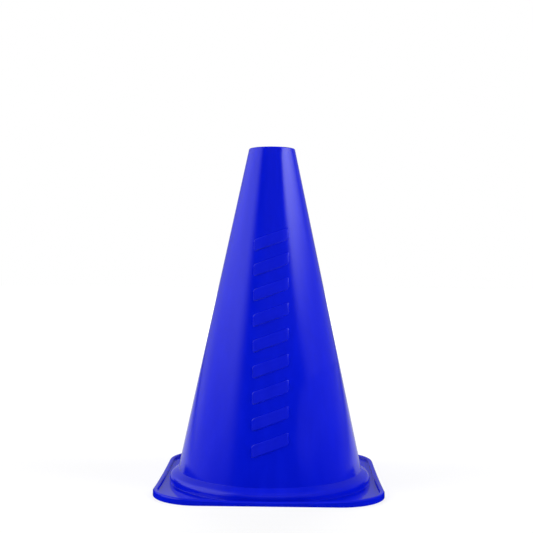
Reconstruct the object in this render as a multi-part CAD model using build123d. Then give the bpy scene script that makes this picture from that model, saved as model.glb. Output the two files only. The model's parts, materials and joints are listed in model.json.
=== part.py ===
from build123d import *
import math
import os

# Sports marker cone: a thin tapered wall on a square foot, open at the top and underneath.
# The real cone is one moulding. Its five regions are drawn as five solids that meet face to face.
# Millimetres, +Z up, origin at the centre of the underside, front towards -Y.

# Tapered wall
CONE_HEIGHT = 230.0          # floor to the top of the lip
WALL = 1.2                   # thickness of the taper and of the shoulder's ledge
WALL_FOOT_DIAMETER = 126.9   # outside of the taper, level with the top of the shoulder

# Mouth, a socket for a training pole
POLE_DIAMETER = 25.0
POLE_CLEARANCE = 1.0         # on the diameter
MOUTH_WALL = 2.9             # thickness of the ring at the lip
LIP_ROUND = 1.0              # both top edges of the ring
POLE_LAND = 4.0              # length of the parallel bore
MOUTH_LEAD_IN = 1.5          # height of the flare from the bore down to the inside of the taper

# Shoulder, the step that the next cone in a stack comes down on
SHOULDER_HEIGHT = 8.5        # floor to the line where the ledge leaves the taper
SHOULDER_LEDGE = 5.95        # how far the shoulder stands out from the foot of the taper
LEDGE_DROP = 3.4             # how far the ledge falls on its way out to the skirt
SHOULDER_ROUND = 5.0         # outer top edge
FOOT_FILLET = 0.5            # hollow between the ledge and the taper
SKIRT = 2.4                  # thickness of the upright under the ledge, which lands on the cone below

# Square foot: flat underneath, while its top climbs a little from the shoulder out to the corners
PLATE_THICKNESS = 0.8        # next to the shoulder
CORNER_RISE = 1.6            # how much higher the plate's top lies in its corners
PLATE_MARGIN = 3.0           # width left between the shoulder and the rim at the middle of a side
CORNER_RADIUS = 31.0         # outside corners of the foot, seen from above
RIM_WIDTH = 3.0
RIM_RISE = 1.7               # crest of the rim above the plate
RIM_OUTER_ROUND = 1.4
RIM_INNER_ROUND = 0.8

# The widest share of a wall or a step that one rounded edge may take
ROUND_SHARE = 0.45

# Mouth sizes
bore_radius = (POLE_DIAMETER + POLE_CLEARANCE) / 2
mouth_radius = bore_radius + MOUTH_WALL
lip_round = min(LIP_ROUND, ROUND_SHARE * MOUTH_WALL)
land_foot = CONE_HEIGHT - lip_round - POLE_LAND
ring_foot = land_foot - MOUTH_LEAD_IN

# Taper sizes
slope = (WALL_FOOT_DIAMETER / 2 - mouth_radius) / (CONE_HEIGHT - SHOULDER_HEIGHT)
wall_across = WALL * math.hypot(1, slope)
wall_foot = SHOULDER_HEIGHT + FOOT_FILLET

# Shoulder and foot sizes
shoulder_radius = WALL_FOOT_DIAMETER / 2 + SHOULDER_LEDGE
ledge_slope = LEDGE_DROP / SHOULDER_LEDGE
ledge_across = WALL * math.hypot(1, ledge_slope)
edge_height = SHOULDER_HEIGHT - LEDGE_DROP
round_reach = math.tan((math.pi / 2 - math.atan(ledge_slope)) / 2)
shoulder_round = min(SHOULDER_ROUND, 2 * ROUND_SHARE * edge_height / round_reach)
skirt_inside = shoulder_radius - SKIRT
hollow_top = SHOULDER_HEIGHT + (wall_across * ledge_slope - ledge_across) / (1 - slope * ledge_slope)
plate_side = 2 * (shoulder_radius + PLATE_MARGIN)
plate_corner = CORNER_RADIUS - RIM_WIDTH
foot_side = plate_side + 2 * RIM_WIDTH
corner_centre = plate_side / 2 - plate_corner
plate_reach = math.sqrt(2) * corner_centre + plate_corner
dish_slope = CORNER_RISE / (plate_reach - shoulder_radius)
dish_reach = plate_reach + 2 * RIM_WIDTH
blank_height = 2 * (PLATE_THICKNESS + CORNER_RISE + RIM_RISE)
rim_inner_round = min(RIM_INNER_ROUND, 2 * ROUND_SHARE * RIM_RISE)


def outer_radius(height):
    """Radius of the taper's outside at a height above the floor."""
    return mouth_radius + slope * (CONE_HEIGHT - height)


def inner_radius(height):
    """Radius of the taper's inside at a height above the floor."""
    return outer_radius(height) - wall_across


def ledge_underside(radius):
    """Height of the ledge's underside at a radius."""
    return SHOULDER_HEIGHT - ledge_across - ledge_slope * (radius - outer_radius(SHOULDER_HEIGHT))


def turned(*corners):
    """Ring turned about the cone's axis from a closed outline of (radius, height, corner round)."""
    outline = FilletPolyline(
        *[(radius, height) for radius, height, _ in corners],
        radius=[corner_round for _, _, corner_round in corners],
        close=True,
    )
    return revolve(Plane.XZ * make_face(outline), Axis.Z)


def make_mouth_ring():
    """Thicker ring round the mouth: rounded lip, parallel bore for the pole, flare below it."""
    return turned(
        (bore_radius, land_foot, 0),
        (bore_radius, CONE_HEIGHT, lip_round),
        (mouth_radius, CONE_HEIGHT, lip_round),
        (outer_radius(ring_foot), ring_foot, 0),
        (inner_radius(ring_foot), ring_foot, 0),
    )


def make_cone_wall():
    """Tapered wall, of even thickness, from the shoulder up to the mouth ring."""
    return turned(
        (outer_radius(wall_foot), wall_foot, 0),
        (outer_radius(ring_foot), ring_foot, 0),
        (inner_radius(ring_foot), ring_foot, 0),
        (inner_radius(wall_foot), wall_foot, 0),
    )


def make_stacking_shoulder():
    """Stepped ring round the foot of the taper, hollow underneath, standing on the floor."""
    ledge_reach = skirt_inside - inner_radius(hollow_top)
    corner_round = max(min(shoulder_round - SKIRT, ROUND_SHARE * ledge_reach), 0)
    return turned(
        (shoulder_radius, 0, 0),
        (shoulder_radius, edge_height, shoulder_round),
        (outer_radius(SHOULDER_HEIGHT), SHOULDER_HEIGHT, FOOT_FILLET),
        (outer_radius(wall_foot), wall_foot, 0),
        (inner_radius(wall_foot), wall_foot, 0),
        (inner_radius(hollow_top), hollow_top, FOOT_FILLET + WALL),
        (skirt_inside, ledge_underside(skirt_inside), corner_round),
        (skirt_inside, 0, 0),
    )


def dish(rise):
    """Round disc, wider than the foot and holed for the shoulder, whose top climbs outwards."""
    low = PLATE_THICKNESS + rise
    high = low + dish_slope * (dish_reach - shoulder_radius)
    return turned(
        (shoulder_radius, 0, 0),
        (dish_reach, 0, 0),
        (dish_reach, high, 0),
        (shoulder_radius, low, 0),
    )


def crest_edges(rim, corner):
    """Edges of the rim's conical crest that follow the outline with this corner radius."""
    crest = rim.faces().filter_by(GeomType.CONE)[0]

    def follows(edge):
        middle = edge @ 0.5
        across = max(abs(middle.X) - corner_centre, 0)
        along = max(abs(middle.Y) - corner_centre, 0)
        return abs(math.hypot(across, along) - corner) < RIM_WIDTH / 10

    return crest.edges().filter_by(follows)


def make_base_plate():
    """Square plate with round corners, holed for the shoulder, lowest next to it."""
    outline = RectangleRounded(plate_side, plate_side, plate_corner)
    return dish(0) & extrude(outline, blank_height)


def make_base_rim():
    """Raised rim round the plate's edge, softer on its outer top edge than on its inner one."""
    outline = RectangleRounded(foot_side, foot_side, CORNER_RADIUS)
    outline -= RectangleRounded(plate_side, plate_side, plate_corner)
    rim = dish(RIM_RISE) & extrude(outline, blank_height)
    rim = fillet(crest_edges(rim, CORNER_RADIUS), RIM_OUTER_ROUND)
    return fillet(crest_edges(rim, plate_corner), rim_inner_round)


regions = {
    "mouth_ring": make_mouth_ring(),
    "cone_wall": make_cone_wall(),
    "stacking_shoulder": make_stacking_shoulder(),
    "base_plate": make_base_plate(),
    "base_rim": make_base_rim(),
}

os.makedirs("parts", exist_ok=True)
for name, region in regions.items():
    region.label = name
    export_step(region, f"parts/{name}.step")
    print(f"{name}: {region.volume / 1000:.2f} cm3")
print(f"foot {foot_side:.1f} mm square, mouth {2 * mouth_radius:.1f} mm across outside")
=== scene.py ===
"""Looks of a sports marker cone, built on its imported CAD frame.

The cone is one blue moulding: a tapered wall, a ring round its mouth, a stepped shoulder at its foot, and
a square plate with a raised rim. Metres, +Z up, the photographed side towards -Y.
"""

import json
import logging
import math
from abc import ABC, abstractmethod
from dataclasses import dataclass
from enum import Enum
from typing import Any, ClassVar, Sequence

import bmesh
import bpy
from mathutils import Matrix, Vector


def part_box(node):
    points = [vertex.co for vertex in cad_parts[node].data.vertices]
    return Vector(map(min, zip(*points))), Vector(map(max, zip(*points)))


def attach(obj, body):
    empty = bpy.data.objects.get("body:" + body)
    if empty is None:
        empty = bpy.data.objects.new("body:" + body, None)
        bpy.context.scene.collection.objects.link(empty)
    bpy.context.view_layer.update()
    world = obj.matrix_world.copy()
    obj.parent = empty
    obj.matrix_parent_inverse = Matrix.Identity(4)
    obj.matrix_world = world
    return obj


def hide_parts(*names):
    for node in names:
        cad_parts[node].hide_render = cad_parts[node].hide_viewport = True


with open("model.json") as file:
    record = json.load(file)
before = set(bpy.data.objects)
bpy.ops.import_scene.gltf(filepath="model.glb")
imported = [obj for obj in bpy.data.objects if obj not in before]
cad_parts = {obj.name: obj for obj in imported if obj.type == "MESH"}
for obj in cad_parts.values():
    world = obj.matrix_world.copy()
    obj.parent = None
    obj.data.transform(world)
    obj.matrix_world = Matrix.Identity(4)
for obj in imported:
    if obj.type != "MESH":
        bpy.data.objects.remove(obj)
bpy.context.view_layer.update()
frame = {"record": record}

log = logging.getLogger("marker_cone")

MM = 0.001
BODY = "root"
NOISE_MIDDLE = 0.5

Colour = tuple[float, float, float]
Corner = tuple[float, float, float]
Place = tuple[float, float, float]
Point = tuple[float, float]
Range = tuple[float, float]


class Signal:
    """One output socket of a node, with arithmetic that adds Math nodes to its tree."""

    def __init__(self, tree: "Tree", socket: bpy.types.NodeSocket) -> None:
        """Wrap an output socket of a tree."""
        self.tree = tree
        self.socket = socket

    def math(self, operation: str, *others: "Signal | float") -> "Signal":
        """Result of a Math node on this value and others."""
        return self.tree.math(operation, self, *others)

    def __add__(self, other: "Signal | float") -> "Signal":
        """Sum of two values."""
        return self.math("ADD", other)

    __radd__ = __add__

    def __mul__(self, other: "Signal | float") -> "Signal":
        """Product of two values."""
        return self.math("MULTIPLY", other)

    __rmul__ = __mul__

    def __sub__(self, other: "Signal | float") -> "Signal":
        """Difference of two values."""
        return self.math("SUBTRACT", other)

    def __rsub__(self, other: float) -> "Signal":
        """Difference, with the number first."""
        return self.tree.math("SUBTRACT", other, self)

    def __truediv__(self, other: "Signal | float") -> "Signal":
        """Quotient of two values."""
        return self.math("DIVIDE", other)

    def __rtruediv__(self, other: float) -> "Signal":
        """Quotient, with the number first."""
        return self.tree.math("DIVIDE", other, self)

    def __abs__(self) -> "Signal":
        """The value without its sign."""
        return self.math("ABSOLUTE")

    def hypot(self, other: "Signal | float") -> "Signal":
        """Root of the sum of two squares."""
        return (self * self + other * other).math("SQRT")

    def step(self, start: float, end: float) -> "Signal":
        """Smooth rise from 0 at start to 1 at end. The end may lie below the start.

        Args:
            start: Where the rise begins.
            end: Where the rise is over.

        Returns:
            The rising value.
        """
        inputs = {"Value": self, "From Min": min(start, end), "From Max": max(start, end)}
        rise = self.tree.add("ShaderNodeMapRange", {"interpolation_type": "SMOOTHSTEP"}, inputs)
        return rise if end >= start else 1 - rise


class Tree:
    """A node tree being written, for a shader or for geometry."""

    def __init__(self, tree: bpy.types.NodeTree) -> None:
        """Wrap the tree to write into."""
        self.tree = tree

    @classmethod
    def blank(cls, owner: bpy.types.Material | bpy.types.World) -> "Tree":
        """Empty tree of a material or a world.

        Args:
            owner: The material or world.

        Returns:
            Its tree, without nodes.
        """
        owner.use_nodes = True
        owner.node_tree.nodes.clear()
        return cls(owner.node_tree)

    @staticmethod
    def pick(sockets: Sequence[bpy.types.NodeSocket], key: str | int) -> bpy.types.NodeSocket:
        """Socket by its index, or the one in use by its name.

        Args:
            sockets: A node's inputs or outputs.
            key: The index or name.

        Returns:
            The socket.
        """
        if isinstance(key, int):
            return sockets[key]
        return next(socket for socket in sockets if socket.name == key and socket.enabled)

    def node(
        self,
        kind: str,
        settings: dict[str, Any] | None = None,
        inputs: dict[str | int, Any] | None = None,
    ) -> bpy.types.Node:
        """Add one node.

        Args:
            kind: The node's type name.
            settings: Properties of the node, set first.
            inputs: Values or links by socket name or index.

        Returns:
            The node.
        """
        node = self.tree.nodes.new(kind)
        for name, value in (settings or {}).items():
            setattr(node, name, value)
        for key, value in (inputs or {}).items():
            socket = self.pick(node.inputs, key)
            if isinstance(value, Signal):
                self.tree.links.new(value.socket, socket)
            else:
                socket.default_value = value
        return node

    def add(
        self,
        kind: str,
        settings: dict[str, Any] | None = None,
        inputs: dict[str | int, Any] | None = None,
        output: str | int = 0,
    ) -> Signal:
        """Add one node and take the wanted one of its outputs."""
        return Signal(self, self.pick(self.node(kind, settings, inputs).outputs, output))

    def math(self, operation: str, *values: Signal | float) -> Signal:
        """Result of a Math node on some values."""
        return self.add("ShaderNodeMath", {"operation": operation}, dict(enumerate(values)))

    def split(self, vector: Signal) -> list[Signal]:
        """The X, Y and Z of a vector."""
        node = self.node("ShaderNodeSeparateXYZ", inputs={0: vector})
        return [Signal(self, socket) for socket in node.outputs]

    def join(self, x: Signal | float, y: Signal | float, z: Signal | float) -> Signal:
        """Vector from its X, Y and Z."""
        return self.add("ShaderNodeCombineXYZ", inputs={0: x, 1: y, 2: z})

    def noise(self, vector: Signal, scale: float, detail: float = 2.0) -> Signal:
        """Soft noise from 0 to 1. The scale is in cycles for each unit of the vector."""
        return self.add("ShaderNodeTexNoise", inputs={"Vector": vector, "Scale": scale, "Detail": detail})

    def blend(self, factor: Signal, first: Colour, second: Colour) -> Signal:
        """Colour between two colours. The factor is the share of the second."""
        inputs = {"Factor": factor, "A": (*first, 1.0), "B": (*second, 1.0)}
        return self.add("ShaderNodeMix", {"data_type": "RGBA"}, inputs, "Result")

    def glow(self, strength: Signal | float) -> Signal:
        """White emission."""
        return self.add("ShaderNodeEmission", inputs={"Strength": strength})

    def matt(self, colour: Colour) -> Signal:
        """Plain diffuse surface."""
        return self.add("ShaderNodeBsdfDiffuse", inputs={"Color": (*colour, 1.0)})


class Finish(ABC):
    """A finish of this scene. Each kind says how its surface shades.

    Attributes:
        name: The material's name.
        sampling: How its emission is sampled as a light.
    """

    name: str
    sampling: ClassVar[str] = "AUTO"

    @abstractmethod
    def surface(self, tree: Tree) -> Signal:
        """Write the finish's nodes into the material's empty tree and give the shader of its surface."""

    def material(self) -> bpy.types.Material:
        """Write the whole material.

        Returns:
            The new material.
        """
        material = bpy.data.materials.new(self.name)
        tree = Tree.blank(material)
        tree.node("ShaderNodeOutputMaterial", inputs={"Surface": self.surface(tree)})
        material.cycles.emission_sampling = self.sampling
        return material


@dataclass(frozen=True)
class MouldedPlastic(Finish):
    """Blue polyethylene as it leaves the mould: gloss, faint flow streaks, slow waves and a fine grain.

    Attributes:
        name: The material's name.
        deep: Base colour, linear.
        pale: Colour of the palest flow streaks, linear.
        ior: Refractive index.
        roughness: Middle roughness of the taper.
        shoulder: Middle roughness of the shoulder, which is silkier.
        foot: Middle roughness of the square foot, which is glossier.
        taper_from: Heights between which the shoulder's roughness becomes the taper's.
        foot_from: Radii between which the shoulder's roughness becomes the foot's.
        streak_scale: Flow streaks for each radian round the cone.
        streak_run: How many radians a metre of height counts for in the streaks.
        streak_detail: How many finer layers the streaks have.
        cloud_scale: Clouds and slow waves for each metre.
        grain_scale: Grains for each metre.
        grain_detail: How many finer layers the grain has.
        line_scale: Polishing lines for each radian round the cone.
        line_run: How many radians a metre of height counts for in the lines.
        pale_from: Values of the streaks between which they turn pale.
        pale_streaks: Share of the pale colour in a streak.
        pale_clouds: Share of the pale colour in a cloud.
        rough_clouds: How much the clouds change the roughness.
        rough_streaks: How much the streaks change the roughness.
        grain: Height of the fine grain, in metres.
        waves: Height of the slow waves, in metres.
        polish: Height of the upright polishing lines left by the mould, in metres.
    """

    name: str = "moulded_blue"
    deep: Colour = (0.0006, 0.0068, 0.60)
    pale: Colour = (0.0016, 0.0090, 0.66)
    ior: float = 1.5
    roughness: float = 0.17
    shoulder: float = 0.20
    foot: float = 0.06
    taper_from: Range = (8.0 * MM, 10.0 * MM)
    foot_from: Range = (69.0 * MM, 70.0 * MM)
    streak_scale: float = 7.0
    streak_run: float = 5.0
    streak_detail: float = 3.0
    cloud_scale: float = 28.0
    grain_scale: float = 1600.0
    grain_detail: float = 1.0
    line_scale: float = 40.0
    line_run: float = 1.5
    pale_from: Range = (0.35, 0.75)
    pale_streaks: float = 0.6
    pale_clouds: float = 0.3
    rough_clouds: float = 0.35
    rough_streaks: float = 0.3
    grain: float = 0.001 * MM
    waves: float = 0.05 * MM
    polish: float = 0.005 * MM

    def surface(self, tree: Tree) -> Signal:
        """Write the plastic's nodes.

        Args:
            tree: The material's empty tree.

        Returns:
            The shader of its surface.
        """
        place = tree.add("ShaderNodeTexCoord", output="Object")
        x, y, z = tree.split(place)
        radius = x.hypot(y)
        across, along = x / radius, y / radius
        run = tree.join(across, along, z * self.streak_run)
        streaks = tree.noise(run, self.streak_scale, self.streak_detail)
        clouds = tree.noise(place, self.cloud_scale)
        grain = tree.noise(place, self.grain_scale, self.grain_detail)
        lines = tree.noise(tree.join(across, along, z * self.line_run), self.line_scale)
        paleness = streaks.step(*self.pale_from) * self.pale_streaks + clouds * self.pale_clouds
        low = radius.step(*self.foot_from) * (self.foot - self.shoulder) + self.shoulder
        middle = z.step(*self.taper_from) * (self.roughness - low) + low
        clouded = (clouds - NOISE_MIDDLE) * self.rough_clouds
        streaked = (streaks - NOISE_MIDDLE) * self.rough_streaks
        height = grain * self.grain + clouds * self.waves + lines * self.polish
        inputs = {
            "Base Color": tree.blend(paleness, self.deep, self.pale),
            "Roughness": (clouded + streaked + 1.0) * middle,
            "IOR": self.ior,
            "Normal": tree.add("ShaderNodeBump", inputs={"Strength": 1.0, "Distance": 1.0, "Height": height}),
        }
        return tree.add("ShaderNodeBsdfPrincipled", inputs=inputs)


SMOOTH_BLUE = MouldedPlastic()
RIBBED_BLUE = MouldedPlastic("ribbed_blue", roughness=0.30)


@dataclass(frozen=True)
class FloorPaint(Finish):
    """White studio floor with the object's shadow on it. Reflections find it white behind and dark in front.

    Attributes:
        name: The material's name.
        colour: The floor's colour as it lights the object.
        shade: Share of the floor's brightness that a shadow takes away.
        glow: Brightness that stays in the deepest shadow. Far from the object the floor is all white.
        gloss: Brightness of the floor behind the object in a reflection.
        dark: Brightness of the floor in front of it in a reflection.
        painted_shade_from: Radii between which the painted shade under the cone, where the floor's glow is
            taken away, gives way to the lit floor.
        white_from: Distances from the axis between which the floor becomes all white.
        behind_from: Places along Y between which a reflection finds the floor bright.
        gloss_to: Distances to the side between which that brightness comes in, from far to near.
    """

    name: str = "studio_floor"
    colour: Colour = (0.75, 0.75, 0.75)
    shade: Colour = (0.24, 0.24, 0.24)
    glow: float = 0.735
    gloss: float = 0.65
    dark: float = 0.01
    painted_shade_from: Range = (0.060, 0.067)
    white_from: Range = (0.4, 1.4)
    behind_from: Range = (-0.03, 0.12)
    gloss_to: Range = (1.2, 0.0)

    def surface(self, tree: Tree) -> Signal:
        """Write the floor's nodes.

        Args:
            tree: The material's empty tree.

        Returns:
            The shader of its surface.
        """
        path = tree.node("ShaderNodeLightPath").outputs
        kinds = ("Is Camera Ray", "Is Glossy Ray", "Is Transmission Ray")
        camera, glossy, through = (Signal(tree, path[kind]) for kind in kinds)
        x, y, _ = tree.split(tree.add("ShaderNodeTexCoord", output="Object"))
        distance = x.hypot(y)
        # Painted shade under the cone: inside its foot the floor loses its glow, for the camera and in
        # reflections.
        outside_painted_shade = distance.step(*self.painted_shade_from)
        white = (distance.step(*self.white_from) * (1.0 - self.glow) + self.glow) * outside_painted_shade
        seen = tree.add("ShaderNodeAddShader", inputs={0: tree.matt(self.shade), 1: tree.glow(white)})
        behind = y.step(*self.behind_from) * abs(x).step(*self.gloss_to) * outside_painted_shade
        image = tree.glow(behind * (self.gloss - self.dark) + self.dark)
        mirrored = glossy.math("MAXIMUM", through)
        unseen = tree.add("ShaderNodeMixShader", inputs={0: mirrored, 1: tree.matt(self.colour), 2: image})
        return tree.add("ShaderNodeMixShader", inputs={0: camera, 1: unseen, 2: seen})


class ReflectorPaint(Finish):
    """Paint of a reflector, which only a reflection shows, so that it isn't sampled as a light."""

    sampling: ClassVar[str] = "NONE"


@dataclass(frozen=True)
class PanelGlow(ReflectorPaint):
    """Glow of the right panel: strongest high up, fading to both sides.

    Attributes:
        name: The material's name.
        high: Brightness that its upper part adds.
        low: Brightness that its lower part adds.
        faint: Brightness at its foot.
        high_from: Heights between which the upper part comes in.
        low_from: Heights between which the lower part comes in.
        top_from: Heights between which its top edge comes in, from above.
        near_from: Places along Y between which its near edge comes in, level with the floor.
        near_lean: How much the near edge leans towards the camera for each metre of height.
        far_from: Places along Y between which its far edge comes in, from behind.
    """

    name: str = "panel_glow"
    high: float = 3.8
    low: float = 0.40
    faint: float = 0.06
    high_from: Range = (0.19, 0.43)
    low_from: Range = (0.04, 0.22)
    top_from: Range = (0.50, 0.44)
    near_from: Range = (-0.22, -0.06)
    near_lean: float = 0.4
    far_from: Range = (0.25, -0.1)

    def surface(self, tree: Tree) -> Signal:
        """Write the panel's nodes.

        Args:
            tree: The material's empty tree.

        Returns:
            The shader of its surface.
        """
        _, y, z = tree.split(tree.add("ShaderNodeTexCoord", output="Object"))
        upright = z.step(*self.high_from) * self.high + z.step(*self.low_from) * self.low + self.faint
        near = (y + z * self.near_lean).step(*self.near_from)
        lit = tree.glow(upright * z.step(*self.top_from) * near * y.step(*self.far_from))
        return tree.add("ShaderNodeAddShader", inputs={0: tree.add("ShaderNodeBsdfTransparent"), 1: lit})


@dataclass(frozen=True)
class CardPaint(ReflectorPaint):
    """Grey of the card that keeps the right panel off the cone's foot. Three of its edges fade away.

    Attributes:
        name: The material's name.
        grey: Its brightness in a reflection.
        inner_from: Places along X between which its inner edge comes in.
        near_from: Places along X, level with the axis, between which its slanting near edge comes in.
        near_slant: How much further out that edge lies for each metre towards the camera.
        far_from: Places along Y between which its far edge comes in, from behind.
    """

    name: str = "card_grey"
    grey: float = 0.17
    inner_from: Range = (0.05, 0.08)
    near_from: Range = (0.008, 0.034)
    near_slant: float = 0.58
    far_from: Range = (0.14, 0.04)

    def surface(self, tree: Tree) -> Signal:
        """Write the card's nodes.

        Args:
            tree: The material's empty tree.

        Returns:
            The shader of its surface.
        """
        x, y, _ = tree.split(tree.add("ShaderNodeTexCoord", output="Object"))
        near = (x + y * self.near_slant).step(*self.near_from)
        solid = x.step(*self.inner_from) * near * y.step(*self.far_from)
        clear = tree.add("ShaderNodeBsdfTransparent")
        return tree.add("ShaderNodeMixShader", inputs={0: solid, 1: clear, 2: tree.glow(self.grey)})


@dataclass(frozen=True)
class FlagPaint(ReflectorPaint):
    """Plain dark paint of the low flags.

    Attributes:
        name: The material's name.
        grey: Their brightness in a reflection.
    """

    name: str = "flag_paint"
    grey: float = 0.02

    def surface(self, tree: Tree) -> Signal:
        """Shader of the flags' surface."""
        return tree.glow(self.grey)


@dataclass(frozen=True)
class ConeSizes:
    """Sizes that the regions share. Those without a value are read from the frame.

    Attributes:
        height: Floor to the top of the lip.
        bore: Radius of the mouth's bore.
        land: Length of the parallel bore.
        ring_foot: Height of the joint between the taper and the mouth ring.
        ring_radius: Outside radius at that joint.
        wall_foot: Height of the joint between the shoulder and the taper.
        wall_radius: Outside radius at that joint.
        shoulder: Outside radius of the shoulder.
        plate_half: Half the side of the plate inside the rim.
        plate_high: Thickness of the plate in its corners.
        rim_half: Half the side of the foot.
        plate_top: Thickness of the plate next to the shoulder.
        rim_rise: Crest of the rim above the plate.
        wall: Thickness of the taper and of the shoulder's ledge.
        skirt: Thickness of the upright under the ledge.
        lip_round: Rounding of the lip's two edges.
        ledge: Floor to the line where the ledge leaves the taper.
        ledge_drop: How far the ledge falls on its way out to the skirt.
        shoulder_round: Rounding of the shoulder's outer edge.
        foot_fillet: Hollow between the ledge and the taper.
        under_round: Rounding inside the hollow shoulder.
        corner: Corner radius of the foot in plan.
        rim_outer_round: Rounding of the rim's outer edge.
        rim_inner_round: Rounding of the rim's inner edge.
        rim_draft: How far the rim's inner face leans out at its foot.
        root_fillet: Small hollow where the plate meets the shoulder and the rim.
        root_share: Share of that hollow's reach that its rounding takes at the shoulder.
    """

    height: float
    bore: float
    land: float
    ring_foot: float
    ring_radius: float
    wall_foot: float
    wall_radius: float
    shoulder: float
    plate_half: float
    plate_high: float
    rim_half: float
    plate_top: float = 0.8 * MM
    rim_rise: float = 1.7 * MM
    wall: float = 1.2 * MM
    skirt: float = 2.4 * MM
    lip_round: float = 1.0 * MM
    ledge: float = 8.5 * MM
    ledge_drop: float = 3.4 * MM
    shoulder_round: float = 5.0 * MM
    foot_fillet: float = 0.25 * MM
    under_round: float = 2.2 * MM
    corner: float = 31.0 * MM
    rim_outer_round: float = 1.4 * MM
    rim_inner_round: float = 0.8 * MM
    rim_draft: float = 0.4 * MM
    root_fillet: float = 0.2 * MM
    root_share: float = 0.98

    @classmethod
    def from_frame(cls) -> "ConeSizes":
        """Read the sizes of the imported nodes.

        Returns:
            The cone's sizes.
        """
        ring_low, ring_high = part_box("mouth_ring")
        wall_low, wall_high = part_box("cone_wall")
        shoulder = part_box("stacking_shoulder")[1]
        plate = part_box("base_plate")[1]
        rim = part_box("base_rim")[1]
        socket = next(mount for mount in frame["record"]["mounts"] if mount["name"] == "pole_socket")
        return cls(
            height=ring_high.z,
            bore=socket["dims"]["r_mm"] * MM,
            land=socket["dims"]["length_mm"] * MM,
            ring_foot=ring_low.z,
            ring_radius=ring_high.x,
            wall_foot=wall_low.z,
            wall_radius=wall_high.x,
            shoulder=shoulder.x,
            plate_half=plate.x,
            plate_high=plate.z,
            rim_half=rim.x,
        )

    @property
    def slope(self) -> float:
        """How much the taper's radius shrinks for each metre of height."""
        return (self.wall_radius - self.ring_radius) / (self.ring_foot - self.wall_foot)

    def outside(self, height: float) -> float:
        """Outside radius of the taper at a height."""
        return self.wall_radius - self.slope * (height - self.wall_foot)

    def inside(self, height: float) -> float:
        """Inside radius of the taper at a height."""
        return self.outside(height) - self.wall * math.hypot(1.0, self.slope)

    @property
    def hole(self) -> float:
        """Radius where the plate leaves the shoulder and its top starts to climb."""
        return self.shoulder + self.root_fillet

    @property
    def climb(self) -> float:
        """How much the foot's top climbs for each metre outwards.

        Returns:
            The climb, from the shoulder to the plate's corners.
        """
        corner = self.corner - (self.rim_half - self.plate_half)
        reach = math.sqrt(2.0) * (self.plate_half - corner) + corner
        return (self.plate_high - self.plate_top) / (reach - self.hole)


def rounded(corners: Sequence[Corner], turn: float = math.radians(6.0)) -> list[Point]:
    """Closed outline whose corners are rounded by tangent arcs.

    Args:
        corners: Each corner's two coordinates and its radius, which may be 0.
        turn: The most that the outline turns from one point of an arc to the next.

    Returns:
        The outline's points, in the corners' order.
    """
    points: list[Point] = []
    for index, (x, y, radius) in enumerate(corners):
        here = Vector((x, y))
        if not radius:
            points.append((x, y))
            continue
        before = (Vector(corners[index - 1][:2]) - here).normalized()
        after = (Vector(corners[(index + 1) % len(corners)][:2]) - here).normalized()
        half = before.angle(after) / 2
        middle = here + (before + after).normalized() * (radius / math.sin(half))
        first = here + before * (radius / math.tan(half)) - middle
        last = here + after * (radius / math.tan(half)) - middle
        sweep = first.angle_signed(last)
        steps = max(2, math.ceil(abs(sweep) / turn))
        for step in range(steps + 1):
            points.append(tuple(middle + Matrix.Rotation(-sweep * step / steps, 2) @ first))
    return points


def new_object(name: str, data: bpy.types.ID) -> bpy.types.Object:
    """Object at the origin, linked to the scene.

    Args:
        name: The object's name.
        data: Its mesh, camera or lamp.

    Returns:
        The new object.
    """
    piece = bpy.data.objects.new(name, data)
    bpy.context.scene.collection.objects.link(piece)
    return piece


def settle(
    piece: bpy.types.Object,
    sharp: float = math.radians(32.0),
    merge: float = 0.0005 * MM,
) -> None:
    """Merge a mesh's doubles, turn its faces outwards and smooth what isn't a crease.

    Args:
        piece: The object whose mesh is settled.
        sharp: The least angle that stays a crease.
        merge: The distance within which points are one.
    """
    work = bmesh.new()
    work.from_mesh(piece.data)
    bmesh.ops.remove_doubles(work, verts=work.verts, dist=merge)
    bmesh.ops.recalc_face_normals(work, faces=work.faces)
    work.to_mesh(piece.data)
    work.free()
    piece.data.shade_smooth()
    piece.data.set_sharp_from_angle(angle=sharp)


def hand_over(piece: bpy.types.Object, *nodes: str) -> None:
    """Give a finished piece to the frame.

    Args:
        piece: The finished piece.
        nodes: The CAD nodes that it stands for.
    """
    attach(piece, BODY)
    if nodes:
        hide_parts(*nodes)
    log.info("%s: %d faces", piece.name, len(piece.data.polygons))


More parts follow.
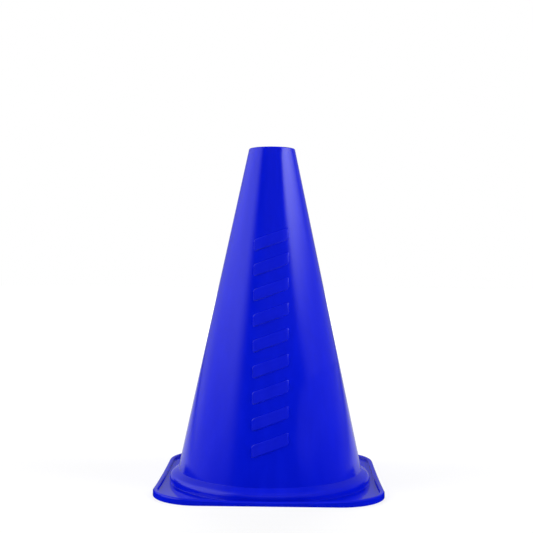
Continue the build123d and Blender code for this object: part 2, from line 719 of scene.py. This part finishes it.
class NodeWork:
    """A Geometry Nodes tree with named inputs, run once and kept as a plain mesh."""

    def __init__(self, name: str, material: bpy.types.Material, **inputs: float | int) -> None:
        """Start a tree.

        Args:
            name: The tree's name.
            material: The finish that its result gets.
            inputs: Values of the named inputs, whole numbers for counts.
        """
        self.group = bpy.data.node_groups.new(name, "GeometryNodeTree")
        self.tree = Tree(self.group)
        self.values: dict[str, Any] = {}
        face = self.group.interface
        face.new_socket("Geometry", in_out="INPUT", socket_type="NodeSocketGeometry")
        for label, value in inputs.items():
            kind = "NodeSocketInt" if isinstance(value, int) else "NodeSocketFloat"
            self.values[face.new_socket(label, in_out="INPUT", socket_type=kind).identifier] = value
        finish = face.new_socket("material", in_out="INPUT", socket_type="NodeSocketMaterial")
        self.values[finish.identifier] = material
        face.new_socket("Geometry", in_out="OUTPUT", socket_type="NodeSocketGeometry")
        self.entry = self.group.nodes.new("NodeGroupInput")

    def given(self, label: str) -> Signal:
        """The tree's input of that name."""
        return Signal(self.tree, self.entry.outputs[label])

    def run(self, piece: bpy.types.Object, shape: Signal) -> None:
        """Close the tree, run it on an object and keep the result as the object's plain mesh.

        Args:
            piece: The object whose mesh the tree starts from.
            shape: The geometry that the tree hands out.
        """
        whole = self.tree.add("GeometryNodeRealizeInstances", inputs={0: shape})
        inputs = {"Geometry": whole, "Material": self.given("material")}
        dressed = self.tree.add("GeometryNodeSetMaterial", inputs=inputs)
        self.tree.node("NodeGroupOutput", inputs={0: dressed})
        modifier = piece.modifiers.new(self.group.name, "NODES")
        modifier.node_group = self.group
        for identifier, value in self.values.items():
            modifier[identifier] = value
        graph = bpy.context.evaluated_depsgraph_get()
        result = bpy.data.meshes.new_from_object(piece.evaluated_get(graph))
        result.name = piece.name
        piece.modifiers.clear()
        piece.data = result


class Path(Enum):
    """What a section is carried round."""

    CIRCLE = "circle"
    SQUARE = "square"


@dataclass
class SweptRing:
    """A region of the moulding whose section is carried round the cone's axis or round its square foot.

    Attributes:
        node: The CAD node that it stands for.
        corners: The section's corners: distance from the axis, height, rounding.
        half: Radius of the circle, or half the side of the square.
        path: What the section is carried round.
        corner: Corner radius of the square.
        steps: Points round the path.
        climb: How much its top climbs for each metre outwards.
        hole: Radius where that climb starts.
        floor: Height from which its points climb in full. Those at 0 stay.
    """

    node: str
    corners: Sequence[Corner]
    half: float
    path: Path = Path.CIRCLE
    corner: float = 0.0
    steps: int = 256
    climb: float = 0.0
    hole: float = 0.0
    floor: float = 1.0 * MM

    def section(self) -> bpy.types.Mesh:
        """The section as a closed line of edges, laid as Curve to Mesh reads it: outwards, then down.

        Returns:
            The section's mesh.
        """
        points = [(across - self.half, -height, 0.0) for across, height in rounded(self.corners)]
        edges = [(index, (index + 1) % len(points)) for index in range(len(points))]
        mesh = bpy.data.meshes.new(self.node)
        mesh.from_pydata(points, edges, [])
        return mesh

    def track(self, work: NodeWork) -> Signal:
        """The closed line that the section is carried along.

        Args:
            work: The tree being written.

        Returns:
            The path curve.
        """
        tree, half, steps = work.tree, work.given("half"), work.given("steps")
        if self.path is Path.CIRCLE:
            return tree.add("GeometryNodeCurvePrimitiveCircle", inputs={"Radius": half, "Resolution": steps})
        side = half * 2.0
        square = tree.add("GeometryNodeCurvePrimitiveQuadrilateral", inputs={"Width": side, "Height": side})
        inputs = {"Curve": square, "Count": steps, "Radius": work.given("corner")}
        round_square = tree.add("GeometryNodeFilletCurve", {"mode": "POLY"}, inputs)
        inputs = {"Curve": round_square, "Count": steps}
        return tree.add("GeometryNodeResampleCurve", {"mode": "COUNT"}, inputs)

    def lifted(self, work: NodeWork, shape: Signal) -> Signal:
        """The swept shape with its top raised more the further out it lies.

        Args:
            work: The tree being written.
            shape: The swept shape.

        Returns:
            The raised shape.
        """
        x, y, z = work.tree.split(work.tree.add("GeometryNodeInputPosition"))
        out = x.hypot(y) - work.given("hole")
        share = (z / work.given("floor")).math("MINIMUM", 1.0)
        offset = work.tree.join(0.0, 0.0, out * work.given("climb") * share)
        return work.tree.add("GeometryNodeSetPosition", inputs={"Geometry": shape, "Offset": offset})

    def build(self, material: bpy.types.Material) -> bpy.types.Object:
        """Make the piece and hand it over.

        Args:
            material: Its finish.

        Returns:
            The finished piece.
        """
        piece = new_object(f"{self.node}_moulding", self.section())
        work = NodeWork(
            f"{self.node}_sweep",
            material,
            half=self.half,
            corner=self.corner,
            steps=self.steps,
            climb=self.climb,
            hole=self.hole,
            floor=self.floor,
        )
        upright = work.tree.add("GeometryNodeSetCurveNormal", {"mode": "Z_UP"}, {"Curve": self.track(work)})
        profile = work.tree.add("GeometryNodeMeshToCurve", inputs={"Mesh": work.given("Geometry")})
        inputs = {"Curve": upright, "Profile Curve": profile}
        work.run(piece, self.lifted(work, work.tree.add("GeometryNodeCurveToMesh", inputs=inputs)))
        settle(piece)
        hand_over(piece, self.node)
        return piece


@dataclass
class TaperedBody:
    """The turned regions: mouth ring, tapered wall and stacking shoulder.

    Attributes:
        sizes: The cone's sizes.
    """

    sizes: ConeSizes

    def mouth_ring(self) -> SweptRing:
        """Ring with a rounded lip, a parallel bore for the pole and a flare under it.

        Returns:
            The ring, not yet made.
        """
        s = self.sizes
        corners = (
            (s.bore, s.height - s.lip_round - s.land, 0),
            (s.bore, s.height, s.lip_round),
            (s.outside(s.height), s.height, s.lip_round),
            (s.outside(s.ring_foot), s.ring_foot, 0),
            (s.inside(s.ring_foot), s.ring_foot, 0),
        )
        return SweptRing("mouth_ring", corners, s.ring_radius)

    def cone_wall(self) -> SweptRing:
        """Tapered wall of even thickness.

        Returns:
            The wall, not yet made.
        """
        s = self.sizes
        corners = (
            (s.outside(s.wall_foot), s.wall_foot, 0),
            (s.outside(s.ring_foot), s.ring_foot, 0),
            (s.inside(s.ring_foot), s.ring_foot, 0),
            (s.inside(s.wall_foot), s.wall_foot, 0),
        )
        return SweptRing("cone_wall", corners, s.wall_radius)

    def shoulder(self) -> SweptRing:
        """Stepped ring, hollow underneath, that flares a little onto the plate.

        Returns:
            The shoulder, not yet made.
        """
        s = self.sizes
        foot = s.outside(s.ledge)
        fall = s.ledge_drop / (s.shoulder - foot)
        across = s.wall * math.hypot(1.0, fall)
        inside = s.shoulder - s.skirt
        under = s.ledge - across - fall * (inside - foot)
        hollow = s.ledge + (s.wall * math.hypot(1.0, s.slope) * fall - across) / (1.0 - s.slope * fall)
        corners = (
            (s.hole, 0, 0),
            (s.hole, s.plate_top, 0),
            (s.shoulder, s.plate_top, s.root_fillet * s.root_share),
            (s.shoulder, s.ledge - s.ledge_drop, s.shoulder_round),
            (foot, s.ledge, s.foot_fillet),
            (s.outside(s.wall_foot), s.wall_foot, 0),
            (s.inside(s.wall_foot), s.wall_foot, 0),
            (s.inside(hollow), hollow, s.foot_fillet + s.wall),
            (inside, under, s.under_round),
            (inside, 0, 0),
        )
        return SweptRing("stacking_shoulder", corners, s.shoulder)

    def build(self, material: bpy.types.Material) -> None:
        """Make the three turned pieces in one finish."""
        for ring in (self.mouth_ring(), self.cone_wall(), self.shoulder()):
            ring.build(material)


@dataclass
class SquareFoot:
    """The square foot: a plate that climbs from the shoulder to its corners, and the raised rim round it.

    Attributes:
        sizes: The cone's sizes.
        rim_steps: Points round the rim.
        plate_steps: Points round the plate.
    """

    sizes: ConeSizes
    rim_steps: int = 640
    plate_steps: int = 256

    @property
    def plate_edge(self) -> float:
        """Half the side of the plate, up to the foot of the rim."""
        s = self.sizes
        return s.plate_half - s.rim_draft - s.root_fillet

    def rim(self) -> SweptRing:
        """Raised rim, softest on its outer edge, whose leaning inner face runs down onto the plate.

        Returns:
            The rim, not yet made.
        """
        s = self.sizes
        edge = self.plate_edge
        crest = s.plate_top + s.rim_rise
        corners = (
            (s.rim_half, 0, 0),
            (s.rim_half, crest, s.rim_outer_round),
            (s.plate_half, crest, s.rim_inner_round),
            (s.plate_half - s.rim_draft, s.plate_top, s.root_fillet),
            (edge, s.plate_top, 0),
            (edge, 0, 0),
        )
        return SweptRing(
            "base_rim",
            corners,
            s.rim_half,
            path=Path.SQUARE,
            corner=s.corner,
            steps=self.rim_steps,
            climb=s.climb,
            hole=s.hole,
            floor=s.plate_top,
        )

    def plate_reach(self, angle: float) -> float:
        """Distance from the axis to the plate's edge.

        Args:
            angle: Direction in plan, from +X.

        Returns:
            The distance.
        """
        s = self.sizes
        half = self.plate_edge
        corner = s.corner - (s.rim_half - half)
        along, across = abs(math.cos(angle)), abs(math.sin(angle))
        longer, shorter = max(along, across), min(along, across)
        middle = half - corner
        if half * shorter <= middle * longer:
            return half / longer
        lean = middle * (along + across)
        return lean + math.sqrt(lean * lean - 2 * middle * middle + corner * corner)

    def plate(self, material: bpy.types.Material) -> bpy.types.Object:
        """Plate between the shoulder and the rim.

        Args:
            material: Its finish.

        Returns:
            The finished piece.
        """
        s = self.sizes
        up = Vector((0.0, 0.0, 1.0))
        work = bmesh.new()
        rings = []
        for index in range(self.plate_steps):
            angle = math.tau * index / self.plate_steps
            spoke = Vector((math.cos(angle), math.sin(angle), 0.0))
            reach = self.plate_reach(angle)
            inner, outer = spoke * s.hole, spoke * reach
            top = s.plate_top + s.climb * (reach - s.hole)
            points = (inner + up * s.plate_top, outer + up * top, outer, inner)
            rings.append([work.verts.new(point) for point in points])
        for first, second in zip(rings, rings[1:] + rings[:1]):
            for side in range(len(first)):
                other = (side + 1) % len(first)
                work.faces.new((first[side], first[other], second[other], second[side]))
        mesh = bpy.data.meshes.new("base_plate_moulding")
        work.to_mesh(mesh)
        work.free()
        mesh.materials.append(material)
        piece = new_object("base_plate_moulding", mesh)
        settle(piece)
        hand_over(piece, "base_plate")
        return piece

    def build(self, material: bpy.types.Material) -> None:
        """Make the foot's two pieces in one finish."""
        self.rim().build(material)
        self.plate(material)


@dataclass
class FrontRibs:
    """A column of plain raised bars, all on one slant, up the front of the taper.

    Attributes:
        sizes: The cone's sizes.
        count: How many ribs.
        start: Height of the lowest rib's middle.
        pitch: Height from one rib to the next.
        width: Reach of a rib round the cone.
        height: Height of a rib.
        slant: Rise of a rib for each metre round the cone.
        end: Rounding of its four corners.
        proud: How far a rib stands out.
        sunk: How far it reaches into the wall.
        bevel: Chamfer round its face.
        turn: How far round from the front the column stands, in radians.
        straight_steps: Steps along half of a rib's straight edge.
        end_points: Points of a rounded corner.
        end_turn: Turn from one of those points to the next, in radians.
    """

    sizes: ConeSizes
    count: int = 9
    start: float = 34.5 * MM
    pitch: float = 16.5 * MM
    width: float = 24.0 * MM
    height: float = 8.0 * MM
    slant: float = 0.36
    end: float = 1.6 * MM
    proud: float = 0.7 * MM
    sunk: float = 0.4 * MM
    bevel: float = 0.45 * MM
    turn: float = 0.017
    straight_steps: int = 6
    end_points: int = 10
    end_turn: float = math.radians(9.0)

    def stations(self) -> list[Point]:
        """Places along a rib, from end to end, each with half the rib's height there.

        Returns:
            The stations.
        """
        straight = self.width / 2 - self.end
        tall = self.height / 2
        half = [(straight * step / self.straight_steps, tall) for step in range(self.straight_steps)]
        for step in range(self.end_points):
            bend = self.end_turn * step
            half.append((straight + self.end * math.sin(bend), tall - self.end + self.end * math.cos(bend)))
        return [(-x, y) for x, y in reversed(half)] + half[1:]

    def rib(self) -> bpy.types.Mesh:
        """One rib laid flat: X round the cone, Y up it, Z out of it.

        Returns:
            The rib's mesh.
        """
        edge = self.proud - self.bevel
        rows: list[tuple[Place, ...]] = []
        for x, y in self.stations():
            inner = x * (1 - 2 * self.bevel / self.width)
            low, high = x * self.slant, inner * self.slant
            row = (
                (x, low - y, -self.sunk),
                (x, low - y, edge),
                (inner, high - y + self.bevel, self.proud),
                (inner, high + y - self.bevel, self.proud),
                (x, low + y, edge),
                (x, low + y, -self.sunk),
            )
            rows.append(row)
        points = [point for row in rows for point in row]
        sides = len(rows[0])
        last = len(points) - sides
        faces: list[tuple[int, ...]] = []
        for near in range(0, last, sides):
            far = near + sides
            for side in range(sides):
                other = (side + 1) % sides
                faces.append((near + side, near + other, far + other, far + side))
        faces += [tuple(range(sides)), tuple(range(last, len(points)))]
        mesh = bpy.data.meshes.new("front_ribs")
        mesh.from_pydata(points, [], faces)
        return mesh

    def build(self, material: bpy.types.Material) -> bpy.types.Object:
        """Stack the ribs flat, then bend the column onto the taper.

        Args:
            material: Their finish.

        Returns:
            The finished piece.
        """
        s = self.sizes
        piece = new_object("front_ribs", self.rib())
        work = NodeWork(
            "front_ribs_column",
            material,
            count=self.count,
            start=self.start,
            pitch=self.pitch,
            turn=self.turn,
            foot=s.outside(0.0),
            slope=s.slope,
        )
        tree, slope = work.tree, work.given("slope")
        inputs = {
            "Count": work.given("count"),
            "Start Location": tree.join(0.0, work.given("start"), 0.0),
            "Offset": tree.join(0.0, work.given("pitch"), 0.0),
        }
        spots = tree.add("GeometryNodeMeshLine", inputs=inputs)
        inputs = {"Points": spots, "Instance": work.given("Geometry")}
        column = tree.add("GeometryNodeInstanceOnPoints", inputs=inputs)
        flat = tree.add("GeometryNodeRealizeInstances", inputs={0: column})
        across, up, out = tree.split(tree.add("GeometryNodeInputPosition"))
        radius = work.given("foot") - slope * up
        angle = across / radius + work.given("turn")
        stretch = slope.hypot(1.0)
        reach = radius + out / stretch
        lifted = up + out * slope / stretch
        bent = tree.join(reach * angle.math("SINE"), reach * angle.math("COSINE") * -1.0, lifted)
        work.run(piece, tree.add("GeometryNodeSetPosition", inputs={"Geometry": flat, "Position": bent}))
        settle(piece)
        hand_over(piece)
        return piece


@dataclass
class PhotoCamera:
    """Camera at the photograph's viewing angle.

    Attributes:
        distance: From the lens to the cone's axis.
        side: How far the lens stands to the right of the axis.
        height: Lens above the floor.
        turn: How far round the cone the camera stands, in radians.
        pitch: How far it looks down, in radians.
        roll: How far it is turned about its own line of sight, in radians.
        focal_px: Focal length in pixels of the photograph.
        frame_px: Side of the square photograph in pixels.
    """

    distance: float = 667.4 * MM
    side: float = -3.29 * MM
    height: float = 155.3 * MM
    turn: float = 0.0215
    pitch: float = 0.0107
    roll: float = 0.0069
    focal_px: float = 957.9
    frame_px: float = 533.0

    def build(self) -> bpy.types.Object:
        """Make the camera and give it to the scene.

        Returns:
            The camera.
        """
        data = bpy.data.cameras.new("photo_camera")
        data.sensor_fit = "HORIZONTAL"
        data.lens = data.sensor_width * self.focal_px / self.frame_px
        camera = new_object("photo_camera", data)
        about = Matrix.Rotation(self.turn, 4, "Z")
        look = Matrix.Rotation(math.pi / 2 - self.pitch, 4, "X") @ Matrix.Rotation(self.roll, 4, "Z")
        camera.matrix_world = about @ Matrix.Translation((self.side, -self.distance, self.height)) @ look
        bpy.context.scene.camera = camera
        return camera


@dataclass(frozen=True)
class SoftLamp:
    """Square lamp that faces the cone and doesn't show in the gloss.

    Attributes:
        name: The lamp's name.
        place: Where it hangs.
        size: Its side.
        power: Its power in watts.
        aim: Height on the cone's axis that it faces.
    """

    name: str
    place: Place
    size: float
    power: float
    aim: float = 0.1

    def hang(self) -> None:
        """Hang the lamp."""
        data = bpy.data.lights.new(self.name, "AREA")
        data.size = self.size
        data.energy = self.power
        data.cycles.use_multiple_importance_sampling = False
        lamp = new_object(self.name, data)
        lamp.location = self.place
        line = Vector((0.0, 0.0, self.aim)) - Vector(self.place)
        lamp.rotation_euler = line.to_track_quat("-Z", "Y").to_euler()
        lamp.visible_glossy = False
        lamp.visible_camera = False


LAMPS = (
    SoftLamp("front_lamp", place=(0.3, -2.6, 1.3), size=2.4, power=19.0),
    SoftLamp("left_lamp", place=(-2.4, -0.6, 1.4), size=1.6, power=46.0),
    SoftLamp("right_lamp", place=(2.4, -0.5, 1.4), size=1.6, power=61.0),
    SoftLamp("back_lamp", place=(0.0, 2.6, 1.5), size=2.0, power=80.0),
)


@dataclass(frozen=True)
class Patch:
    """One patch of light in the surround that the gloss reflects.

    Each edge is soft and says where the patch begins and where it has its whole strength.

    Attributes:
        strength: Its brightness.
        rise: Edges in degrees above level.
        about: Edges in degrees from the photographed side, to the right.
        aside: Edges in degrees from the photographed side, to either hand.
        depth: Edges on a scale from -1 at the photographed side to 1 behind.
    """

    strength: float
    rise: tuple[Range, ...] = ()
    about: tuple[Range, ...] = ()
    aside: tuple[Range, ...] = ()
    depth: tuple[Range, ...] = ()

    def light(self, bearings: dict[str, Signal]) -> Signal:
        """Brightness of the patch, from the measures of a direction, named as the edges are."""
        masks = [bearing.step(*edge) for name, bearing in bearings.items() for edge in getattr(self, name)]
        return math.prod(masks, start=self.strength)


LEFT_PANEL = Patch(1.15, rise=((5.0, 20.0), (70.0, 45.0)), about=((-41.0, -66.0), (-160.0, -95.0)))
LOW_LEFT = Patch(0.27, rise=((20.0, 8.0),), about=((-60.0, -95.0), (-150.0, -120.0)))
REAR_LEFT = Patch(0.06, rise=((30.0, 10.0),), about=((-115.0, -150.0),))
BACKDROP = Patch(0.25, rise=((45.0, 20.0),), aside=((90.0, 140.0),))
FRONT_GLOW = Patch(0.07, rise=((15.0, 18.5),), about=((-45.0, -10.0),), depth=((0.3, -0.2),))
SOFT_BOX = Patch(0.22, rise=((32.0, 42.0), (60.0, 50.0)), aside=((50.0, 30.0),))
OVERHEAD = Patch(0.10, rise=((50.0, 78.0),), depth=((0.45, 0.1),))
CEILING = Patch(0.03, rise=((30.0, 60.0),))
PATCHES = (LEFT_PANEL, LOW_LEFT, REAR_LEFT, BACKDROP, FRONT_GLOW, SOFT_BOX, OVERHEAD, CEILING)


@dataclass
class Studio:
    """White floor, soft lamps and a surround that the gloss reflects: pale at the left, dark low in front.

    Attributes:
        floor_half: Half the side of the floor.
        panel_x: How far to the right the right panel stands.
        panel_y: Its near and far edges.
        panel_high: Its height.
        card_x: Inner edge of the grey card, which reaches out to the panel.
        card_y: Its near and far edges.
        card_z: How high it hangs.
        flag_x: How far out each dark flag stands beside the foot.
        flag_y: Near and far edges of the flags.
        flag_high: Height of the flags.
        lamps: The soft lamps.
        patches: The patches of light in the surround.
    """

    floor_half: float = 4.0
    panel_x: float = 0.35
    panel_y: Range = (-0.4, 0.2)
    panel_high: float = 0.5
    card_x: float = 0.05
    card_y: Range = (-0.3, 0.15)
    card_z: float = 0.085
    flag_x: float = 0.09
    flag_y: Range = (-0.06, 0.005)
    flag_high: float = 0.0125
    lamps: tuple[SoftLamp, ...] = LAMPS
    patches: tuple[Patch, ...] = PATCHES

    def sheet(self, name: str, corners: Sequence[Place], finish: Finish) -> bpy.types.Object:
        """Make one flat four-sided piece of the stage.

        Args:
            name: Its name.
            corners: Its four corners in order.
            finish: Its finish.

        Returns:
            The new stage piece.
        """
        mesh = bpy.data.meshes.new(name)
        mesh.from_pydata(corners, [], [tuple(range(len(corners)))])
        mesh.materials.append(finish.material())
        sheet = new_object(name, mesh)
        return sheet

    def floor(self) -> None:
        """Lay the floor."""
        half = self.floor_half
        corners = ((-half, -half, 0), (half, -half, 0), (half, half, 0), (-half, half, 0))
        self.sheet("floor", corners, FloorPaint())

    def upright(self, name: str, x: float, y: Range, high: float, finish: Finish) -> bpy.types.Object:
        """Stand one sheet on the floor, square to X.

        Args:
            name: Its name.
            x: Where it stands.
            y: Its near and far edges.
            high: Its height.
            finish: Its finish.

        Returns:
            The new stage piece.
        """
        near, far = y
        corners = ((x, near, 0), (x, far, 0), (x, far, high), (x, near, high))
        return self.sheet(name, corners, finish)

    def card(self) -> bpy.types.Object:
        """Hang the grey card, level, inside the right panel.

        Returns:
            The new stage piece.
        """
        near, far = self.card_y
        inner, outer, z = self.card_x, self.panel_x, self.card_z
        corners = ((inner, near, z), (outer, near, z), (outer, far, z), (inner, far, z))
        return self.sheet("grey_card", corners, CardPaint())

    def reflectors(self) -> None:
        """Set up the right panel, the grey card and the dark flags. Only reflections show them."""
        pieces = (
            self.upright("right_panel", self.panel_x, self.panel_y, self.panel_high, PanelGlow()),
            self.card(),
            self.upright("left_flag", -self.flag_x, self.flag_y, self.flag_high, FlagPaint()),
            self.upright("right_flag", self.flag_x, self.flag_y, self.flag_high, FlagPaint()),
        )
        for piece in pieces:
            piece.visible_camera = False
            piece.visible_diffuse = False
            piece.visible_shadow = False
            piece.visible_transmission = False
            piece.visible_volume_scatter = False

    def surround(self) -> None:
        """Write the world: white to the camera, and patches of light for the gloss."""
        world = bpy.data.worlds.new("studio")
        bpy.context.scene.world = world
        tree = Tree.blank(world)
        x, y, z = tree.split(tree.add("ShaderNodeTexCoord", output="Generated"))
        about = x.math("ARCTAN2", y * -1.0).math("DEGREES")
        rise = z.math("ARCSINE").math("DEGREES")
        bearings = {"rise": rise, "about": about, "aside": abs(about), "depth": y}
        gloss = sum(patch.light(bearings) for patch in self.patches)
        camera = tree.add("ShaderNodeLightPath", output="Is Camera Ray")
        inputs = {"Color": (1.0, 1.0, 1.0, 1.0), "Strength": camera * (1 - gloss) + gloss}
        sky = tree.add("ShaderNodeBackground", inputs=inputs)
        tree.node("ShaderNodeOutputWorld", inputs={"Surface": sky})

    def build(self) -> None:
        """Set the whole stage."""
        self.floor()
        self.reflectors()
        self.surround()
        for lamp in self.lamps:
            lamp.hang()
        bpy.context.scene.view_settings.view_transform = "Standard"


def main() -> None:
    """Build the cone and its studio."""
    logging.basicConfig(level=logging.INFO, format="%(name)s %(message)s")
    sizes = ConeSizes.from_frame()
    plastic = SMOOTH_BLUE.material()
    TaperedBody(sizes).build(plastic)
    SquareFoot(sizes).build(plastic)
    FrontRibs(sizes).build(RIBBED_BLUE.material())
    Studio().build()
    PhotoCamera().build()


if __name__ == "__main__":
    main()
